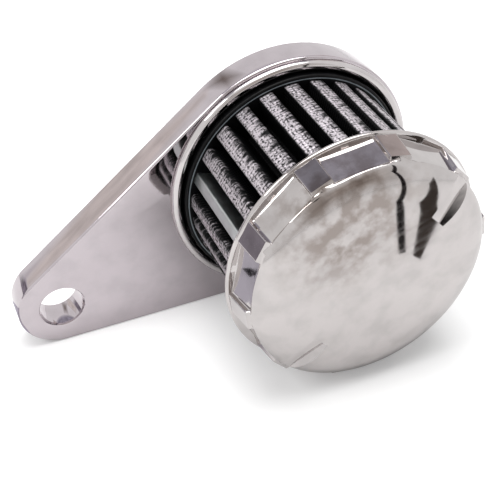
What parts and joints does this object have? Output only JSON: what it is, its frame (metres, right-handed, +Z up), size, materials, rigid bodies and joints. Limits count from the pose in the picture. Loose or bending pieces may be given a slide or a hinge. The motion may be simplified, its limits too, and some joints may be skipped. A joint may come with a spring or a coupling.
{
  "type": "crankcase breather filter",
  "caption": "Crankcase breather filter: pleated wire-covered element under a ribbed domed chrome cap, on a thick teardrop bracket with a bolt hole and a barbed hose nipple.",
  "frame": {"origin": "centre of the bounding box's underside, on the surface that the part lies on", "axes": "+X along the bracket's straight lower edge, from its bolt hole towards the filter; +Z up as the part lies; the filter's axis points along -Y, from the bracket to the cap, and dips by 2 degrees; the hose nipple points along +Y"},
  "size_m": [0.0968, 0.0752, 0.0602],
  "materials": {
    "plate_chrome": "polished chrome plate on steel",
    "cup_chrome": "polished chrome plate on spun steel",
    "cap_chrome": "polished chrome plate on pressed steel",
    "nipple_plating": "bright plated",
    "nut_plating": "bright plated",
    "spring_steel": "dark zinc plated",
    "base_rubber": "smooth black moulding",
    "disc_rubber": "smooth black moulding",
    "gasket_rubber": "matt black sheet",
    "seal_rubber": "matt black",
    "wire_cloth": "fine woven wire",
    "media_gauze": "dark oiled gauze",
    "tube_steel": "zinc plated",
    "seam_steel": "bare folded strip"
  },
  "bodies": {
    "root": {"mounting_plate": "plate_chrome", "base_cup": "cup_chrome", "base_gasket": "gasket_rubber", "hose_nipple": "nipple_plating", "nipple_seal": "seal_rubber", "lock_washer": "spring_steel", "lock_nut": "nut_plating", "base_end_ring": "base_rubber", "inner_tube": "tube_steel", "filter_media": "media_gauze", "wire_screen": "wire_cloth", "seam_strip": "seam_steel", "top_end_disc": "disc_rubber", "top_cap": "cap_chrome"}
  },
  "joints": []
}
